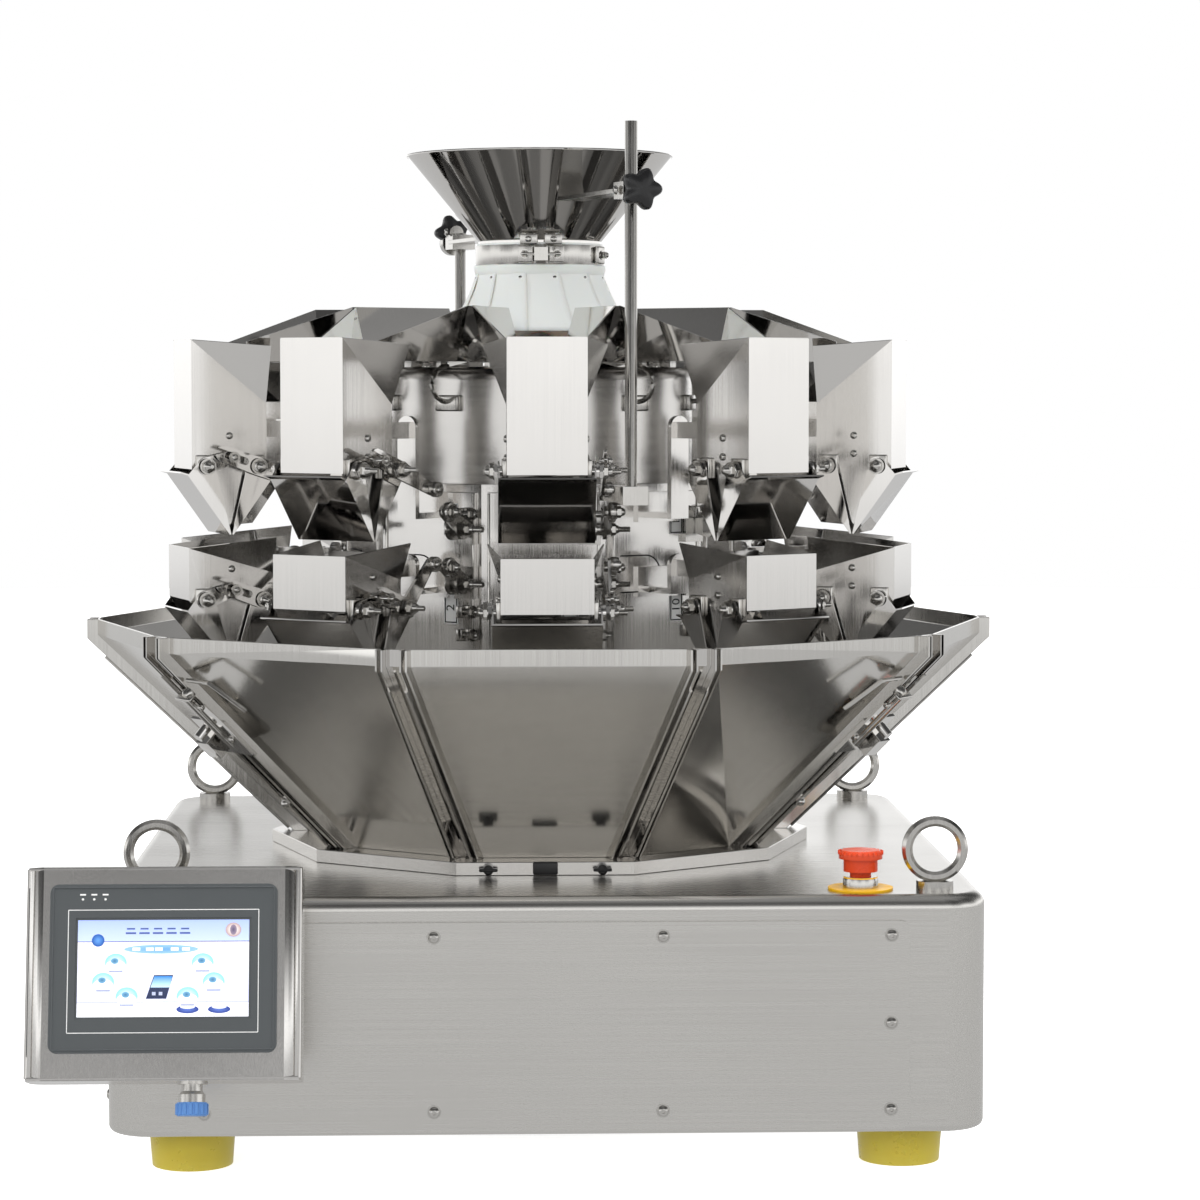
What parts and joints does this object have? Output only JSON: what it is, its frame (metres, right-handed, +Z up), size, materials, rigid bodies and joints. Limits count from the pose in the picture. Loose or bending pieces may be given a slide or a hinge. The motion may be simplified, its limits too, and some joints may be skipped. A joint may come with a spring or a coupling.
{
  "type": "multihead weigher",
  "caption": "Free-standing combination weigher: infeed funnel, vibrating pans, ring of feed and weigh hoppers with swing doors, collecting chute and square base with operator panel.",
  "frame": {"origin": "on the floor under the axis of the discharge well", "axes": "+Z up, along the discharge axis; the operator panel is on the -Y side; +X to the right seen from there"},
  "size_m": [0.9331, 0.988, 0.986],
  "materials": {
    "cabinet_steel": "brushed",
    "cover_steel": "brushed",
    "foot_rubber": "translucent polyurethane",
    "bright_steel": "polished",
    "satin_steel": "satin",
    "yellow_plastic": "satin",
    "red_plastic": "gloss",
    "screen_bezel": "satin",
    "blue_plastic": "satin",
    "petal_plastic": "translucent sheet",
    "door_steel": "satin polished",
    "chute_steel": "polished"
  },
  "bodies": {
    "frame": {"base_cabinet": "cabinet_steel", "cabinet_covers": "cover_steel", "feet": "foot_rubber", "lifting_eyes": "bright_steel", "emergency_stop_base": "yellow_plastic", "control_box": "satin_steel", "touch_screen": "screen_bezel", "control_box_arm": "satin_steel", "connector_cap": "blue_plastic", "pedestal": "satin_steel", "drive_column": "satin_steel", "drive_covers": "satin_steel", "drive_cranks": "bright_steel", "vibrator_drum": "satin_steel", "pan_mounts": "bright_steel", "feeder_pans": "bright_steel", "top_cone": "bright_steel", "funnel_rods": "bright_steel", "chute_ring": "satin_steel", "chute_panels": "chute_steel", "chute_seams": "chute_steel", "chute_latches": "bright_steel", "feed_hoppers": "door_steel", "weigh_hoppers": "door_steel", "rear_head_doors": "door_steel"},
    "emergency_stop": {"emergency_stop_button": "red_plastic"},
    "infeed": {"infeed_funnel": "bright_steel", "funnel_collar": "satin_steel", "petal_skirt": "petal_plastic", "funnel_clamps": "bright_steel"},
    "feed_door_front_far_left": {"feed_door_front_far_left": "door_steel"},
    "feed_door_rear_far_left": {"feed_door_rear_far_left": "door_steel"},
    "feed_door_front_left": {"feed_door_front_left": "door_steel"},
    "feed_door_rear_left": {"feed_door_rear_left": "door_steel"},
    "feed_door_front_middle": {"feed_door_front_middle": "door_steel"},
    "feed_door_rear_middle": {"feed_door_rear_middle": "door_steel"},
    "feed_door_front_right": {"feed_door_front_right": "door_steel"},
    "feed_door_rear_right": {"feed_door_rear_right": "door_steel"},
    "feed_door_front_far_right": {"feed_door_front_far_right": "door_steel"},
    "feed_door_rear_far_right": {"feed_door_rear_far_right": "door_steel"},
    "weigh_door_front_far_left": {"weigh_door_front_far_left": "door_steel"},
    "weigh_door_rear_far_left": {"weigh_door_rear_far_left": "door_steel"},
    "weigh_door_front_left": {"weigh_door_front_left": "door_steel"},
    "weigh_door_rear_left": {"weigh_door_rear_left": "door_steel"},
    "weigh_door_front_middle": {"weigh_door_front_middle": "door_steel"},
    "weigh_door_rear_middle": {"weigh_door_rear_middle": "door_steel"},
    "weigh_door_front_right": {"weigh_door_front_right": "door_steel"},
    "weigh_door_rear_right": {"weigh_door_rear_right": "door_steel"},
    "weigh_door_front_far_right": {"weigh_door_front_far_right": "door_steel"},
    "weigh_door_rear_far_right": {"weigh_door_rear_far_right": "door_steel"}
  },
  "joints": [
    {"name": "emergency_stop_press", "type": "slide", "parent": "frame", "child": "emergency_stop", "axis": [0, 0, 1], "range_m": [-0.004, 0]},
    {"name": "funnel_height", "type": "slide", "parent": "frame", "child": "infeed", "axis": [0, 0, 1], "range_m": [-0.01, 0.008]},
    {"name": "feed_front_far_left_hinge", "type": "hinge", "parent": "frame", "child": "feed_door_front_far_left", "pos_m": [-0.34523, -0.11217, 0.654], "axis": [-0.309, 0.9511, 0], "range_deg": [0, 40], "stiffness_Nm_per_rad": 0.4},
    {"name": "feed_rear_far_left_hinge", "type": "hinge", "parent": "frame", "child": "feed_door_rear_far_left", "pos_m": [-0.29768, -0.09672, 0.654], "axis": [0.309, -0.9511, 0], "range_deg": [0, 40], "stiffness_Nm_per_rad": 0.4},
    {"name": "feed_front_left_hinge", "type": "hinge", "parent": "frame", "child": "feed_door_front_left", "pos_m": [-0.21337, -0.29367, 0.654], "axis": [-0.809, 0.5878, 0], "range_deg": [0, 40], "stiffness_Nm_per_rad": 0.4},
    {"name": "feed_rear_left_hinge", "type": "hinge", "parent": "frame", "child": "feed_door_rear_left", "pos_m": [-0.18398, -0.25322, 0.654], "axis": [0.809, -0.5878, 0], "range_deg": [0, 40], "stiffness_Nm_per_rad": 0.4},
    {"name": "feed_front_middle_hinge", "type": "hinge", "parent": "frame", "child": "feed_door_front_middle", "pos_m": [0, -0.363, 0.654], "axis": [-1, 0, 0], "range_deg": [0, 40], "stiffness_Nm_per_rad": 0.4},
    {"name": "feed_rear_middle_hinge", "type": "hinge", "parent": "frame", "child": "feed_door_rear_middle", "pos_m": [0, -0.313, 0.654], "axis": [1, 0, 0], "range_deg": [0, 40], "stiffness_Nm_per_rad": 0.4},
    {"name": "feed_front_right_hinge", "type": "hinge", "parent": "frame", "child": "feed_door_front_right", "pos_m": [0.21337, -0.29367, 0.654], "axis": [-0.809, -0.5878, 0], "range_deg": [0, 40], "stiffness_Nm_per_rad": 0.4},
    {"name": "feed_rear_right_hinge", "type": "hinge", "parent": "frame", "child": "feed_door_rear_right", "pos_m": [0.18398, -0.25322, 0.654], "axis": [0.809, 0.5878, 0], "range_deg": [0, 40], "stiffness_Nm_per_rad": 0.4},
    {"name": "feed_front_far_right_hinge", "type": "hinge", "parent": "frame", "child": "feed_door_front_far_right", "pos_m": [0.34523, -0.11217, 0.654], "axis": [-0.309, -0.9511, 0], "range_deg": [0, 40], "stiffness_Nm_per_rad": 0.4},
    {"name": "feed_rear_far_right_hinge", "type": "hinge", "parent": "frame", "child": "feed_door_rear_far_right", "pos_m": [0.29768, -0.09672, 0.654], "axis": [0.309, 0.9511, 0], "range_deg": [0, 40], "stiffness_Nm_per_rad": 0.4},
    {"name": "weigh_front_far_left_hinge", "type": "hinge", "parent": "frame", "child": "weigh_door_front_far_left", "pos_m": [-0.34809, -0.1131, 0.5225], "axis": [-0.309, 0.9511, 0], "range_deg": [0, 40], "stiffness_Nm_per_rad": 0.4},
    {"name": "weigh_rear_far_left_hinge", "type": "hinge", "parent": "frame", "child": "weigh_door_rear_far_left", "pos_m": [-0.29483, -0.0958, 0.5225], "axis": [0.309, -0.9511, 0], "range_deg": [0, 40], "stiffness_Nm_per_rad": 0.4},
    {"name": "weigh_front_left_hinge", "type": "hinge", "parent": "frame", "child": "weigh_door_front_left", "pos_m": [-0.21513, -0.2961, 0.5225], "axis": [-0.809, 0.5878, 0], "range_deg": [0, 40], "stiffness_Nm_per_rad": 0.4},
    {"name": "weigh_rear_left_hinge", "type": "hinge", "parent": "frame", "child": "weigh_door_rear_left", "pos_m": [-0.18221, -0.25079, 0.5225], "axis": [0.809, -0.5878, 0], "range_deg": [0, 40], "stiffness_Nm_per_rad": 0.4},
    {"name": "weigh_front_middle_hinge", "type": "hinge", "parent": "frame", "child": "weigh_door_front_middle", "pos_m": [0, -0.366, 0.5225], "axis": [-1, 0, 0], "range_deg": [0, 40], "stiffness_Nm_per_rad": 0.4},
    {"name": "weigh_rear_middle_hinge", "type": "hinge", "parent": "frame", "child": "weigh_door_rear_middle", "pos_m": [0, -0.31, 0.5225], "axis": [1, 0, 0], "range_deg": [0, 40], "stiffness_Nm_per_rad": 0.4},
    {"name": "weigh_front_right_hinge", "type": "hinge", "parent": "frame", "child": "weigh_door_front_right", "pos_m": [0.21513, -0.2961, 0.5225], "axis": [-0.809, -0.5878, 0], "range_deg": [0, 40], "stiffness_Nm_per_rad": 0.4},
    {"name": "weigh_rear_right_hinge", "type": "hinge", "parent": "frame", "child": "weigh_door_rear_right", "pos_m": [0.18221, -0.25079, 0.5225], "axis": [0.809, 0.5878, 0], "range_deg": [0, 40], "stiffness_Nm_per_rad": 0.4},
    {"name": "weigh_front_far_right_hinge", "type": "hinge", "parent": "frame", "child": "weigh_door_front_far_right", "pos_m": [0.34809, -0.1131, 0.5225], "axis": [-0.309, -0.9511, 0], "range_deg": [0, 40], "stiffness_Nm_per_rad": 0.4},
    {"name": "weigh_rear_far_right_hinge", "type": "hinge", "parent": "frame", "child": "weigh_door_rear_far_right", "pos_m": [0.29483, -0.0958, 0.5225], "axis": [0.309, 0.9511, 0], "range_deg": [0, 40], "stiffness_Nm_per_rad": 0.4}
  ],
  "couplings": [
    {"joint": "feed_rear_far_left_hinge", "follows": "feed_front_far_left_hinge", "ratio": 1},
    {"joint": "feed_rear_left_hinge", "follows": "feed_front_left_hinge", "ratio": 1},
    {"joint": "feed_rear_middle_hinge", "follows": "feed_front_middle_hinge", "ratio": 1},
    {"joint": "feed_rear_right_hinge", "follows": "feed_front_right_hinge", "ratio": 1},
    {"joint": "feed_rear_far_right_hinge", "follows": "feed_front_far_right_hinge", "ratio": 1},
    {"joint": "weigh_rear_far_left_hinge", "follows": "weigh_front_far_left_hinge", "ratio": 1},
    {"joint": "weigh_rear_left_hinge", "follows": "weigh_front_left_hinge", "ratio": 1},
    {"joint": "weigh_rear_middle_hinge", "follows": "weigh_front_middle_hinge", "ratio": 1},
    {"joint": "weigh_rear_right_hinge", "follows": "weigh_front_right_hinge", "ratio": 1},
    {"joint": "weigh_rear_far_right_hinge", "follows": "weigh_front_far_right_hinge", "ratio": 1}
  ]
}
